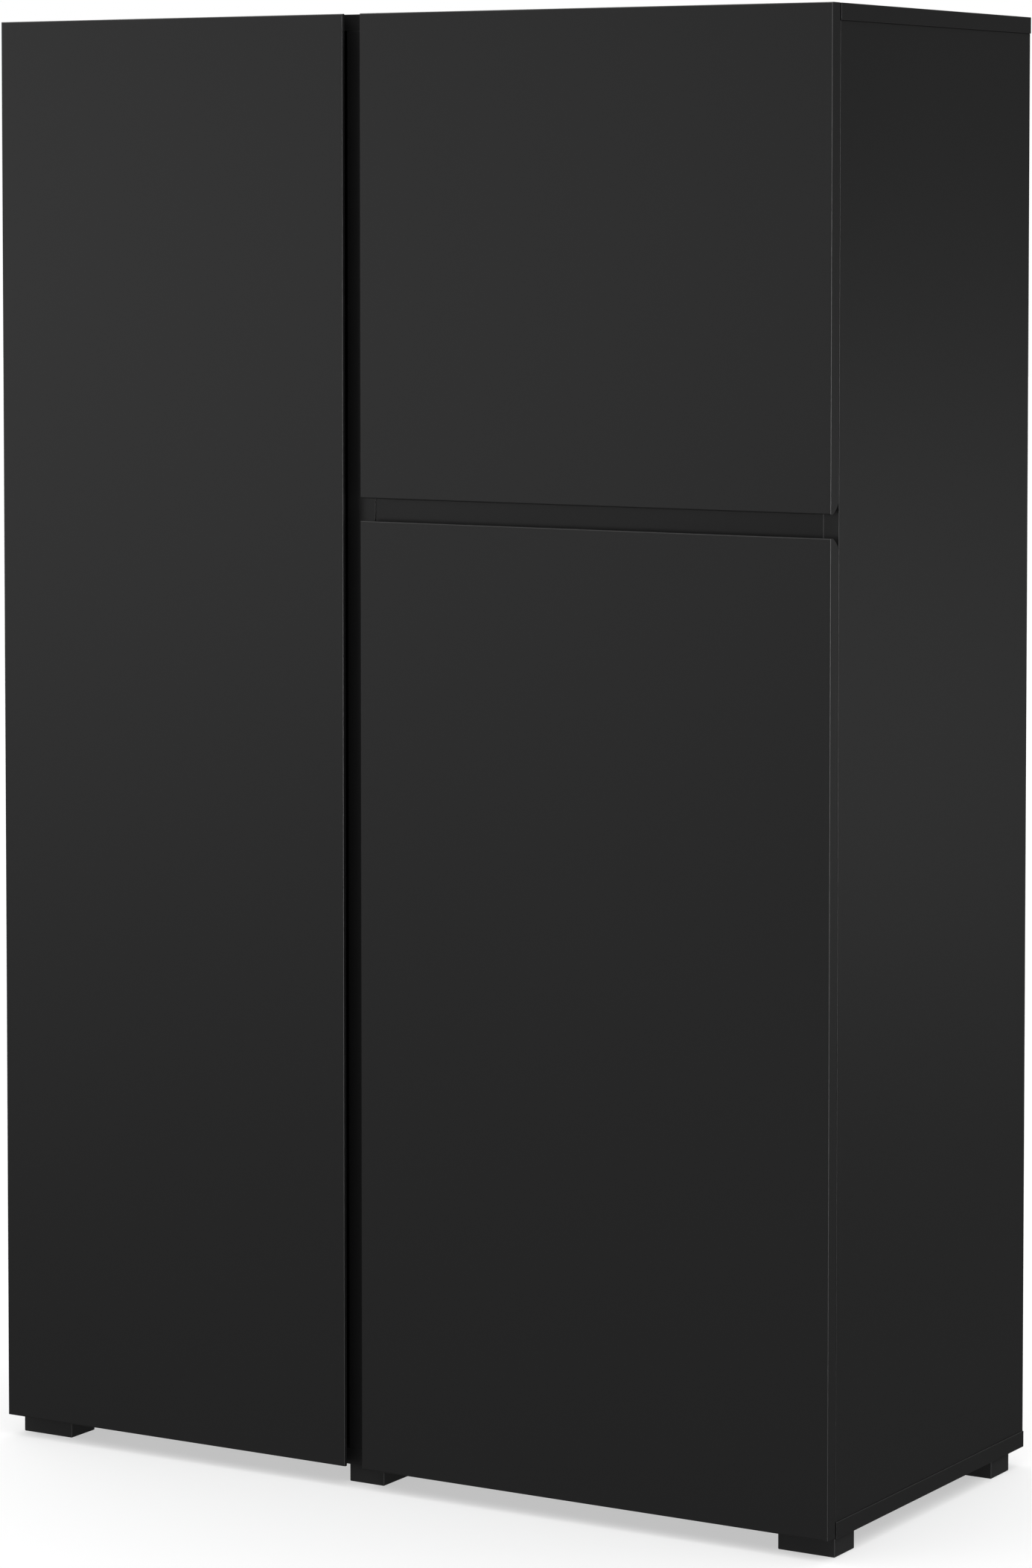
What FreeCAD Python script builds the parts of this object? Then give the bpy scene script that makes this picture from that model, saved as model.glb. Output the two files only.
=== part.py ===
"""Three-door wardrobe cabinet in flat-pack board, in millimetres.

+Z is up, the doors face -Y and +X is to the right of someone facing the doors. The origin is the
middle of the bounding box on the floor, with every door closed.
"""
import FreeCAD
import Part
import math
import os

V = FreeCAD.Vector

# ---------------------------------------------------------------- driving dimensions
width = 945.0             # over the top panel, and over the closed doors
carcass_height = 1425.0   # underside of the bottom panel to the face of the top panel
carcass_depth = 406.0     # front edges of the boards to their rear edges
board = 16.0              # every board of the carcass
side_inset = 1.0          # the sides stand in from the ends of the top and bottom panels
board_round = 0.5         # broken edges of the boards
door_board = 16.0         # thickness of a door
door_gap = 2.0            # from the back of a closed door to the carcass
door_lift = 2.0           # from the underside of the bottom panel to the foot of a door
door_round = 1.2          # rounding round the face of a door
hinge_edge_round = 1.5    # rounding of the rear edge beside the hinges
left_door_width = 411.0
groove_width = 20.0       # upright finger groove between the left door and the right pair
upper_door_height = 469.0
groove_height = 22.0      # level finger groove between the two right doors
grip_lip = 4.0            # square lip at the face of a door, before the finger scoop
grip_rise = 12.0          # how far the scoop eats back along the rear face
grip_radius = 28.0        # radius of the scoop's rounded flank

stile_width = 32.0        # strip that backs the upright groove
rail_height = 48.0        # strip that backs the level groove
strip_seam = 0.6          # joint between the rail and the stile
back_board = 3.0          # hardboard back panels
back_inset = 10.0         # rear edges of the boards to the back panels
back_groove = 6.0         # depth of the grooves that hold the back panels
back_play = 1.0           # short of the bottom of its groove, a back panel at its sides and top

foot_length = 60.0
foot_depth = 40.0
foot_height = 19.0
foot_inset = 4.0          # front and side edges of the carcass to the corner feet
centre_foot_inset = 7.0   # front edge of the carcass to the middle foot
rear_foot_inset = 26.0    # rear edge of the carcass to the rear feet, clear of a skirting board
foot_round = 1.0
foot_well_depth = 11.4    # sunk well that hides the head of a foot screw
foot_well_radius = 5.0
foot_screw_head = 3.0     # thickness of the head
foot_screw_head_radius = 4.0
foot_screw_radius = 2.0
foot_screw_reach = 11.2   # how far a foot screw bites into the bottom panel

shelf_count = 4           # shelves in the left compartment
shelf_play = 1.0          # from a loose shelf to the boards at its ends
shelf_setback = 20.0      # front edge of the carcass to the front of a loose shelf
pin_radius = 2.5          # shelf pins and the holes that take them
pin_in = 9.0
pin_out = 8.0
pin_row = 50.0            # a row of pin holes from the front and rear of a shelf
right_pin_row = 70.0      # the same on the right, so that no two pins meet inside the partition
hole_pitch = 32.0
spare_holes = 2           # pin holes above and below each pin in use

cam_radius = 7.5
cam_depth = 12.5
cam_offset = 34.0         # centre of a cam from the end of its board
cam_slot_length = 8.0
cam_slot_width = 1.4
cam_slot_depth = 2.5
bolt_thread = 11.0        # how deep a bolt is screwed in
bolt_radius = 2.5
shank_radius = 3.5
neck_radius = 2.0
neck_length = 5.0
bolt_play = 0.5           # round a bolt in its board
joint_inset = 60.0        # front edge of a board to its first cam joint
rear_joint_inset = 100.0  # rear edge of an upright board to its second cam joint
dowel_radius = 4.0
dowel_in_face = 10.0
dowel_in_end = 20.0
stile_dowels = 4
rail_dowels = 3

screw_head_radius = 3.6   # countersunk wood screws of the fittings
screw_radius = 1.75
cup_screw_length = 11.0
plate_screw_length = 13.0
bracket_screw_length = 12.0

hinge_end = 100.0         # ends of a tall door to its outer hinges
short_hinge_end = 80.0    # ends of the short door to its hinges
hinge_pin_inset = 6.6     # hinge side edge of a door to the pins
hinge_pin_rear = 8.4      # rear face of a door to the pins
hinge_pin_radius = 1.1
pin_clearance = 0.05      # running fit of a knuckle on its pin
knuckle_radius = 2.0
cup_radius = 17.5
cup_edge = 3.0            # hinge side edge of a door to the rim of a cup
cup_depth = 12.0
cup_wall = 0.8
flange = 1.0              # thickness of the cup flange and its wings
wing_reach = 31.0         # centre of a cup to the end of a wing
wing_width = 13.0
cup_screw_pitch = 48.0
cup_screw_offset = 9.5    # centre of a cup to its screws, away from the edge
lug_gap = 5.0             # centre of a cup to a pin lug
pin_end_gap = 1.0         # end of a pin to the wall of the cup
arm_half_width = 3.5      # half the width of the neck of an arm
arm_plate = 2.2           # thickness of the neck
neck_floor = 0.3          # from the floor of a cup to the neck
neck_stand = 2.0          # from the side to the neck of an arm
shell_front = 8.0         # front edges of the carcass to the shell of an arm
shell_length = 52.0
shell_height = 11.0
shell_half_width = 7.5
shell_wall = 1.5
plate_offset = 37.0       # front edges of the carcass to the screws of a mounting plate
plate_screw_pitch = 32.0
plate_length = 38.0
plate_half_width = 9.0
plate_wing = 22.0         # screw line of a plate to the end of a wing
plate_wing_width = 13.0
arm_screw_from_end = 12.7     # rear end of an arm to the screw that clamps it
arm_screw_head = 1.5      # thickness of the head
arm_screw_head_radius = 3.5
arm_screw_radius = 2.0

rod_width = 15.0          # oval clothes rod
rod_height = 30.0
rod_wall = 1.2
rod_drop = 32.0           # underside of the middle shelf to the centre of the rod
rod_end_gap = 20.0        # from the ends of the rod to the rail and to the back panel
bracket_wall = 2.5
bracket_length = 14.0     # along the rod
bracket_from_end = 22.0   # ends of the rod to the brackets
bracket_wing = 17.0       # sides of a bracket to the ends of its foot plate

wall_bracket_width = 30.0
wall_bracket_leg = 40.0
wall_bracket_plate = 2.0
wall_hole_radius = 3.0
wall_hole_drop = 25.0     # underside of the top panel to the wall holes
wall_bracket_offset = 180.0   # partition to the middle of a wall bracket

bumper_radius = 4.0
strip_bumper_radius = 2.2
bumper_height = 1.6
bumper_inset = 12.0       # free edge of a door's rear face to a bumper

# ---------------------------------------------------------------- places that follow from them
front = -(door_board + door_gap + carcass_depth) / 2
door_back = front + door_board
carcass_front = door_back + door_gap
carcass_back = carcass_front + carcass_depth
back_front = carcass_back - back_inset - back_board
strip_back = carcass_front + board
mid_depth = (carcass_front + carcass_back) / 2

base = foot_height
top = foot_height + carcass_height
inner_floor = base + board
inner_top = top - board
door_foot = base + door_lift
lower_door_top = top - upper_door_height - groove_height
upper_door_foot = top - upper_door_height
groove_level = (lower_door_top + upper_door_foot) / 2

left_end = -width / 2
right_end = width / 2
left_inner = left_end + side_inset + board
right_inner = right_end - side_inset - board
left_door_free = left_end + left_door_width
right_door_free = left_door_free + groove_width
groove_centre = (left_door_free + right_door_free) / 2
partition_left = groove_centre - board / 2
partition_right = groove_centre + board / 2
stile_left = groove_centre - stile_width / 2
stile_right = groove_centre + stile_width / 2
mid_shelf_floor = groove_level - board / 2
mid_shelf_top = groove_level + board / 2
wall_hole_level = inner_top - wall_hole_drop
hinge_pin_depth = door_board - hinge_pin_rear


# ---------------------------------------------------------------- helpers
def box(x0, x1, y0, y1, z0, z1):
    return Part.makeBox(x1 - x0, y1 - y0, z1 - z0, V(x0, y0, z0))


def board_box(x0, x1, y0, y1, z0, z1, radius=board_round):
    """A board with every edge broken by a small rounding."""
    blank = box(x0, x1, y0, y1, z0, z1)
    return blank.makeFillet(radius, blank.Edges)


def rod(start, direction, radius, length):
    """A round bar from start, along direction."""
    return Part.makeCylinder(radius, length, start, direction)


def countersunk_screw(head, direction, length):
    """A wood screw with its head flush at the point head, pointing along direction."""
    cone_length = screw_head_radius - screw_radius
    cone = Part.makeCone(screw_head_radius, screw_radius, cone_length, head, direction)
    shank = rod(head + direction * cone_length, direction, screw_radius, length - cone_length)
    return cone.fuse(shank).removeSplitter()


def cut(solid, tools):
    return solid.cut(tools) if tools else solid


def group(solids):
    return Part.makeCompound(solids)


# Holes wanted in each board, filled in by the pieces that need them.
holes = {}


def drill(node, tool):
    holes.setdefault(node, []).append(tool)


# ---------------------------------------------------------------- cam joints and dowels
cam_locks = []
cam_bolts = []
dowels = []


def cam_joint(face_board, end_board, point, inward, cam_side):
    """A bolt in one board's face, drawn tight by a cam let into the other board.

    point is where the bolt crosses the joint, inward runs into the end board, and cam_side points
    out of the face that the cam is let into.
    """
    shank_length = cam_offset - cam_radius
    cam_centre = point + inward * cam_offset
    cam_face = cam_centre + cam_side * (board / 2)
    drill(face_board, rod(point, inward * -1, bolt_radius, bolt_thread))
    drill(end_board, rod(point, inward, shank_radius + bolt_play, cam_offset))
    drill(end_board, rod(cam_face, cam_side * -1, cam_radius, cam_depth))

    thread = rod(point, inward * -1, bolt_radius, bolt_thread)
    shank = rod(point, inward, shank_radius, shank_length - bolt_play)
    neck = rod(point, inward, neck_radius, shank_length + neck_length)
    cam_bolts.append(thread.fuse([shank, neck]).removeSplitter())

    cam = rod(cam_face, cam_side * -1, cam_radius, cam_depth)
    mouth = rod(point, inward, neck_radius + bolt_play, shank_length + neck_length + bolt_play)
    slots = [cam_slot(cam_face, cam_side, inward), cam_slot(cam_face, cam_side, cam_side.cross(inward))]
    cam_locks.append(cam.cut([mouth] + slots))


def cam_slot(cam_face, cam_side, along):
    """One arm of the cross in the face of a cam, for a screwdriver."""
    across = cam_side.cross(along)
    corner = cam_face - along * (cam_slot_length / 2) - across * (cam_slot_width / 2)
    corner -= cam_side * cam_slot_depth
    face = Part.Face(Part.makePolygon([
        corner,
        corner + along * cam_slot_length,
        corner + along * cam_slot_length + across * cam_slot_width,
        corner + across * cam_slot_width,
        corner,
    ]))
    return face.extrude(cam_side * cam_slot_depth)


def dowel_joint(face_board, end_board, point, inward, in_face=dowel_in_face):
    """A dowel across the joint at point, for register."""
    start = point - inward * in_face
    length = in_face + dowel_in_end
    dowels.append(rod(start, inward, dowel_radius, length))
    drill(face_board, rod(start, inward, dowel_radius, in_face))
    drill(end_board, rod(point, inward, dowel_radius, dowel_in_end))


def upright_joints(node, x, cam_side, front_edge):
    """Two cam joints and a dowel at the head and at the foot of an upright board."""
    depths = [front_edge + joint_inset, carcass_back - rear_joint_inset]
    ends = [("top_panel", inner_top, V(0, 0, -1)), ("bottom_panel", inner_floor, V(0, 0, 1))]
    for panel, level, inward in ends:
        for y in depths:
            cam_joint(panel, node, V(x, y, level), inward, cam_side)
        dowel_joint(panel, node, V(x, mid_depth, level), inward)


def shelf_joints():
    """The middle shelf hangs between the partition and the right side on cams and dowels."""
    ends = [("partition", partition_right, V(1, 0, 0)), ("right_side", right_inner, V(-1, 0, 0))]
    for node, x, inward in ends:
        for y in (strip_back + joint_inset, back_front - joint_inset):
            cam_joint(node, "mid_shelf", V(x, y, groove_level), inward, V(0, 0, -1))
        dowel_joint(node, "mid_shelf", V(x, mid_depth, groove_level), inward)


def strip_joints():
    """Dowels that hold the stile to the partition and the rail to the middle shelf."""
    pitch = (inner_top - inner_floor) / stile_dowels
    for i in range(stile_dowels):
        z = inner_floor + pitch * (i + 0.5)
        dowel_joint("stile", "partition", V(groove_centre, strip_back, z), V(0, 1, 0))
    pitch = (right_inner - stile_right) / rail_dowels
    for i in range(rail_dowels):
        x = stile_right + pitch * (i + 0.5)
        dowel_joint("mid_rail", "mid_shelf", V(x, strip_back, groove_level), V(0, 1, 0))


# ---------------------------------------------------------------- carcass boards
def flat_panel(z0):
    return board_box(left_end, right_end, carcass_front, carcass_back, z0, z0 + board)


def upright(x0, y0):
    return board_box(x0, x0 + board, y0, carcass_back, inner_floor, inner_top)


def make_mid_shelf():
    return board_box(partition_right, right_inner, strip_back, back_front, mid_shelf_floor, mid_shelf_top)


def make_stile():
    return board_box(stile_left, stile_right, carcass_front, strip_back, inner_floor, inner_top)


def make_mid_rail():
    z0 = groove_level - rail_height / 2
    return board_box(stile_right + strip_seam, right_inner, carcass_front, strip_back, z0, z0 + rail_height)


def back_panel(x0, x1):
    """A hardboard sheet that stands in grooves in the boards round it."""
    reach = back_groove - back_play
    return box(x0 - reach, x1 + reach, back_front, back_front + back_board,
               inner_floor - back_groove, inner_top + reach)


def groove_for_backs():
    """The grooves run on behind both sheets, in the top, bottom, sides and partition."""
    rear = back_front + back_board
    low = inner_floor - back_groove
    high = inner_top + back_groove
    spans = [(left_inner, partition_left), (partition_right, right_inner)]
    for x0, x1 in spans:
        channel = box(x0 - back_groove, x1 + back_groove, back_front, rear, low, high)
        for node in ("top_panel", "bottom_panel", "left_side", "right_side", "partition"):
            drill(node, channel)


# ---------------------------------------------------------------- loose shelves
shelf_pins = []


def loose_shelf(x0, x1, z0):
    """A shelf that lies on four pins, short of the boards round it."""
    return board_box(x0 + shelf_play, x1 - shelf_play, carcass_front + shelf_setback,
                     back_front - shelf_play, z0, z0 + board)


def pins_for(left_node, right_node, x0, x1, z0, row):
    """Four pins under a shelf, in rows of spare holes."""
    level = z0 - pin_radius
    for node, x, out in ((left_node, x0, V(1, 0, 0)), (right_node, x1, V(-1, 0, 0))):
        for y in (carcass_front + shelf_setback + row, back_front - row):
            shelf_pins.append(rod(V(x, y, level) - out * pin_in, out, pin_radius, pin_in + pin_out))
            for step in range(-spare_holes, spare_holes + 1):
                drill(node, rod(V(x, y, level + step * hole_pitch), out * -1, pin_radius, pin_in))


def left_shelf_levels():
    clear = (inner_top - inner_floor - shelf_count * board) / (shelf_count + 1)
    return [inner_floor + clear * (i + 1) + board * i for i in range(shelf_count)]


# ---------------------------------------------------------------- doors
def grip_face(place, reach):
    """Section of a door from its plain edge to its finger scoop, reach away.

    place(u, w) puts a point u from the plain edge and w behind the face of the door.
    """
    rise_start = place(reach, grip_lip)
    rise_end = place(reach - grip_rise, door_board)
    chord = rise_end - rise_start
    sag = grip_radius - math.sqrt(grip_radius ** 2 - (chord.Length / 2) ** 2)
    outward = place(1.0, 1.0) - place(0.0, 0.0)
    outward.normalize()
    middle = (rise_start + rise_end) * 0.5 + outward * sag
    corners = [rise_end, place(0, door_board), place(0, 0), place(reach, 0), rise_start]
    edges = [Part.makeLine(a, b) for a, b in zip(corners, corners[1:])]
    edges.append(Part.Arc(rise_start, middle, rise_end).toShape())
    return Part.Face(Part.Wire(edges))


def soften_door(door, hinge_x):
    """Round the face of a door all round, and its rear edge beside the hinges."""
    face_edges = [e for e in door.Edges if e.BoundBox.YMax < front + 0.01]
    door = door.makeFillet(door_round, face_edges)
    rear_edges = []
    for edge in door.Edges:
        bounds = edge.BoundBox
        at_hinge = abs(bounds.XMin - hinge_x) < 0.01 and abs(bounds.XMax - hinge_x) < 0.01
        if at_hinge and bounds.YMin > door_back - 0.01:
            rear_edges.append(edge)
    return door.makeFillet(hinge_edge_round, rear_edges)


def make_left_door():
    face = grip_face(lambda u, w: V(left_end + u, front + w, door_foot), left_door_width)
    return soften_door(face.extrude(V(0, 0, top - door_foot)), left_end)


def make_upper_right_door():
    face = grip_face(lambda u, w: V(right_door_free, front + w, top - u), upper_door_height)
    return soften_door(face.extrude(V(right_end - right_door_free, 0, 0)), right_end)


def make_lower_right_door():
    face = grip_face(lambda u, w: V(right_door_free, front + w, door_foot + u), lower_door_top - door_foot)
    return soften_door(face.extrude(V(right_end - right_door_free, 0, 0)), right_end)


# ---------------------------------------------------------------- hinges
class Hinge:
    """One concealed hinge. side is +1 where inward from the hinge edge is +X, and -1 where it is -X."""

    def __init__(self, door, upright_node, edge_x, side, level):
        self.door = door
        self.upright = upright_node
        self.edge_x = edge_x
        self.side = side
        self.level = level
        self.pin = self.at(hinge_pin_inset, hinge_pin_depth, 0)
        self.cup_inset = cup_edge + cup_radius

    def at(self, inset, depth, rise):
        """A point inset from the door's hinge edge, depth behind its face, and rise above the hinge."""
        return V(self.edge_x + self.side * inset, front + depth, self.level + rise)

    def block(self, inset0, inset1, depth0, depth1, half):
        """A block between two insets and two depths, half wide to each side of the hinge's middle."""
        a = self.at(inset0, depth0, -half)
        b = self.at(inset1, depth1, half)
        return box(min(a.x, b.x), max(a.x, b.x), a.y, b.y, a.z, b.z)


def hinge_cup(hinge):
    """A drawn steel cup let into the door, with two wings and a pair of lugs for the pin."""
    floor_depth = door_board - cup_depth
    centre = hinge.at(hinge.cup_inset, floor_depth, 0)
    back = V(0, 1, 0)
    hole = rod(centre, back, cup_radius, cup_depth)
    drill(hinge.door, hole)
    cup = rod(centre, back, cup_radius, cup_depth + flange)
    wings = hinge.block(hinge.cup_inset + cup_screw_offset - wing_width / 2,
                        hinge.cup_inset + cup_screw_offset + wing_width / 2,
                        door_board, door_board + flange, wing_reach)
    inside = rod(centre + back * cup_wall, back, cup_radius - cup_wall, cup_depth + flange)
    cup = cup.fuse(wings).cut(inside)
    bowl = rod(centre + back * (cup_wall / 2), back, cup_radius - cup_wall / 2, cup_depth)
    lug_inset = hinge_pin_inset + knuckle_radius
    lug_depth = hinge_pin_depth + knuckle_radius
    lugs = hinge.block(cup_edge, lug_inset, floor_depth, lug_depth, cup_radius)
    lugs = lugs.common(bowl).cut(hinge.block(0, lug_inset + 1, 0, lug_depth + 1, lug_gap))
    cup = cup.fuse(lugs).removeSplitter()
    pin_hole = rod(hinge.pin - V(0, 0, lug_span()), V(0, 0, 1), hinge_pin_radius, 2 * lug_span())
    screws = []
    for rise in (-cup_screw_pitch / 2, cup_screw_pitch / 2):
        head = hinge.at(hinge.cup_inset + cup_screw_offset, door_board + flange, rise)
        screws.append(countersunk_screw(head, V(0, -1, 0), cup_screw_length))
    for screw in screws:
        drill(hinge.door, screw)
    return cup.cut([pin_hole] + screws), screws


def lug_span():
    """Half the length of a hinge pin: out to the wall of the cup, less a little."""
    chord = cup_edge + cup_radius - hinge_pin_inset
    return math.sqrt((cup_radius - cup_wall) ** 2 - chord ** 2) - pin_end_gap


def hinge_pin(hinge):
    return rod(hinge.pin - V(0, 0, lug_span()), V(0, 0, 1), hinge_pin_radius, 2 * lug_span())


def hinge_arm(hinge):
    """A pressed arm: a shell over the mounting plate, and a neck that bends into the cup."""
    side_face = side_inset + board
    neck_inset = side_face + neck_stand
    reach_depth = door_board - cup_depth + cup_wall + neck_floor
    shell_depth = door_board + door_gap + shell_front
    knuckle = rod(hinge.pin - V(0, 0, arm_half_width), V(0, 0, 1), knuckle_radius, 2 * arm_half_width)
    across = hinge.block(hinge_pin_inset, neck_inset + arm_plate, reach_depth, reach_depth + arm_plate,
                         arm_half_width)
    upward = hinge.block(neck_inset, neck_inset + arm_plate, reach_depth, shell_depth + shell_wall,
                         arm_half_width)
    shell = hinge.block(neck_inset, neck_inset + shell_height, shell_depth, shell_depth + shell_length,
                        shell_half_width)
    hollow = hinge.block(neck_inset, neck_inset + shell_height - shell_wall, shell_depth + shell_wall,
                         shell_depth + shell_length - shell_wall, shell_half_width - shell_wall)
    arm = shell.cut(hollow).fuse([upward, across, knuckle]).removeSplitter()
    eye = rod(hinge.pin - V(0, 0, knuckle_radius + arm_half_width), V(0, 0, 1),
              hinge_pin_radius + pin_clearance, 2 * (knuckle_radius + arm_half_width))
    return arm.cut([eye, arm_screw(hinge)])


def hinge_plate(hinge):
    """The mounting plate screwed to the side, under the arm."""
    side_face = side_inset + board
    line = door_board + door_gap + plate_offset
    end = door_board + door_gap + shell_front + shell_length
    spine = hinge.block(side_face, side_face + neck_stand, end - plate_length, end, plate_half_width)
    wings = hinge.block(side_face, side_face + neck_stand, line - plate_wing_width / 2,
                        line + plate_wing_width / 2, plate_wing)
    screws = []
    inward = V(-hinge.side, 0, 0)
    for rise in (-plate_screw_pitch / 2, plate_screw_pitch / 2):
        head = hinge.at(side_face + neck_stand, line, rise)
        screws.append(countersunk_screw(head, inward, plate_screw_length))
    for screw in screws:
        drill(hinge.upright, screw)
    plate = spine.fuse(wings).removeSplitter()
    return plate.cut(screws + [arm_screw(hinge)]), screws


def arm_screw(hinge):
    """The screw that clamps an arm to its plate: a flat head on the shell and a thread below."""
    side_face = side_inset + board
    depth = door_board + door_gap + shell_front + shell_length - arm_screw_from_end
    outer = side_face + neck_stand + shell_height
    inward = V(-hinge.side, 0, 0)
    head = rod(hinge.at(outer + arm_screw_head, depth, 0), inward, arm_screw_head_radius, arm_screw_head)
    thread = rod(hinge.at(outer, depth, 0), inward, arm_screw_radius, shell_height + neck_stand)
    return head.fuse(thread).removeSplitter()


def hinge_levels(z0, z1, end, count):
    span = z1 - z0 - 2 * end
    return [z0 + end + span * i / (count - 1) for i in range(count)]


door_hinges = {
    "left": [Hinge("left_door", "left_side", left_end, 1, z)
             for z in hinge_levels(door_foot, top, hinge_end, 3)],
    "upper": [Hinge("upper_right_door", "right_side", right_end, -1, z)
              for z in hinge_levels(upper_door_foot, top, short_hinge_end, 2)],
    "lower": [Hinge("lower_right_door", "right_side", right_end, -1, z)
              for z in hinge_levels(door_foot, lower_door_top, hinge_end, 3)],
}


# ---------------------------------------------------------------- feet
def foot(x, y, along_x, along_y):
    """A moulded block foot with its screw, whose head is sunk from below."""
    block = board_box(x, x + along_x, y, y + along_y, 0, foot_height, foot_round)
    middle = V(x + along_x / 2, y + along_y / 2, 0)
    up = V(0, 0, 1)
    screw_head = rod(middle + up * (foot_well_depth - foot_screw_head), up, foot_screw_head_radius,
                     foot_screw_head)
    screw_shank = rod(middle + up * foot_well_depth, up, foot_screw_radius,
                      foot_height - foot_well_depth + foot_screw_reach)
    screw = screw_head.fuse(screw_shank).removeSplitter()
    well = rod(middle, up, foot_well_radius, foot_well_depth)
    drill("bottom_panel", screw)
    return block.cut([well, screw]), screw


def all_feet():
    corner_left = left_end + foot_inset
    corner_right = right_end - foot_inset - foot_length
    front_row = carcass_front + foot_inset
    rear_row = carcass_back - rear_foot_inset - foot_depth
    turned_left = groove_centre - foot_depth / 2
    rear_middle = carcass_back - rear_foot_inset - foot_length
    return {
        "foot_front_left": foot(corner_left, front_row, foot_length, foot_depth),
        "foot_front_right": foot(corner_right, front_row, foot_length, foot_depth),
        "foot_rear_left": foot(corner_left, rear_row, foot_length, foot_depth),
        "foot_rear_right": foot(corner_right, rear_row, foot_length, foot_depth),
        "foot_front_middle": foot(turned_left, carcass_front + centre_foot_inset, foot_depth, foot_length),
        "foot_rear_middle": foot(turned_left, rear_middle, foot_depth, foot_length),
    }


# ---------------------------------------------------------------- clothes rod
rod_x = (partition_right + right_inner) / 2
rod_level = mid_shelf_floor - rod_drop
rod_front = strip_back + rod_end_gap
rod_rear = back_front - rod_end_gap


def oval(half_width, half_height, y0, y1):
    """An upright oval bar along Y: two round edges joined by flats."""
    flat = half_height - half_width
    body = box(rod_x - half_width, rod_x + half_width, y0, y1, rod_level - flat, rod_level + flat)
    lower = rod(V(rod_x, y0, rod_level - flat), V(0, 1, 0), half_width, y1 - y0)
    upper = rod(V(rod_x, y0, rod_level + flat), V(0, 1, 0), half_width, y1 - y0)
    return body.fuse([lower, upper]).removeSplitter()


def clothes_rod():
    outer = oval(rod_width / 2, rod_height / 2, rod_front, rod_rear)
    bore = oval(rod_width / 2 - rod_wall, rod_height / 2 - rod_wall, rod_front, rod_rear)
    return outer.cut(bore)


def rod_bracket(y0):
    """A hanger under the middle shelf: a loop round the rod, with a foot plate and two screws."""
    y1 = y0 + bracket_length
    half = rod_width / 2 + bracket_wall
    loop = oval(half, rod_height / 2 + bracket_wall, y0, y1)
    post = box(rod_x - half, rod_x + half, y0, y1, rod_level, mid_shelf_floor)
    plate = box(rod_x - half - bracket_wing, rod_x + half + bracket_wing, y0, y1,
                mid_shelf_floor - bracket_wall, mid_shelf_floor)
    body = loop.fuse([post, plate]).removeSplitter()
    screws = []
    for side in (-1, 1):
        head = V(rod_x + side * (half + bracket_wing / 2), y0 + bracket_length / 2,
                 mid_shelf_floor - bracket_wall)
        screws.append(countersunk_screw(head, V(0, 0, 1), bracket_screw_length))
    for screw in screws:
        drill("mid_shelf", screw)
    return body.cut([oval(rod_width / 2, rod_height / 2, y0, y1)] + screws), screws


# ---------------------------------------------------------------- wall brackets
def wall_bracket(x):
    """An angle under the top panel, with one hole through the back panel for a wall screw."""
    x0 = x - wall_bracket_width / 2
    x1 = x + wall_bracket_width / 2
    level_leg = box(x0, x1, back_front - wall_bracket_leg, back_front,
                    inner_top - wall_bracket_plate, inner_top)
    upright_leg = box(x0, x1, back_front - wall_bracket_plate, back_front,
                      inner_top - wall_bracket_leg, inner_top)
    wall_hole = rod(V(x, back_front - wall_bracket_plate, wall_hole_level), V(0, 1, 0),
                    wall_hole_radius, wall_bracket_plate + back_board)
    drill("back_panel_left" if x < groove_centre else "back_panel_right", wall_hole)
    head = V(x, back_front - wall_bracket_leg / 2, inner_top - wall_bracket_plate)
    screw = countersunk_screw(head, V(0, 0, 1), bracket_screw_length)
    drill("top_panel", screw)
    bracket = level_leg.fuse(upright_leg).removeSplitter()
    return bracket.cut([wall_hole, screw]), screw


# ---------------------------------------------------------------- bumpers
def bumpers():
    """Soft buttons on the front edges of the carcass, where the free edges of the doors land."""
    top_line = top - board / 2
    foot_line = base + board / 2
    left_x = left_door_free - grip_rise - bumper_inset
    right_x = right_door_free + bumper_inset
    strip_x = (right_door_free + stile_right) / 2
    strip_reach = grip_rise + bumper_inset
    spots = [
        (left_x, top_line, bumper_radius),
        (left_x, foot_line, bumper_radius),
        (right_x, top_line, bumper_radius),
        (right_x, foot_line, bumper_radius),
        (strip_x, upper_door_foot + strip_reach, strip_bumper_radius),
        (strip_x, lower_door_top - strip_reach, strip_bumper_radius),
    ]
    return [rod(V(x, carcass_front - bumper_height, z), V(0, 1, 0), r, bumper_height) for x, z, r in spots]


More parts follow.
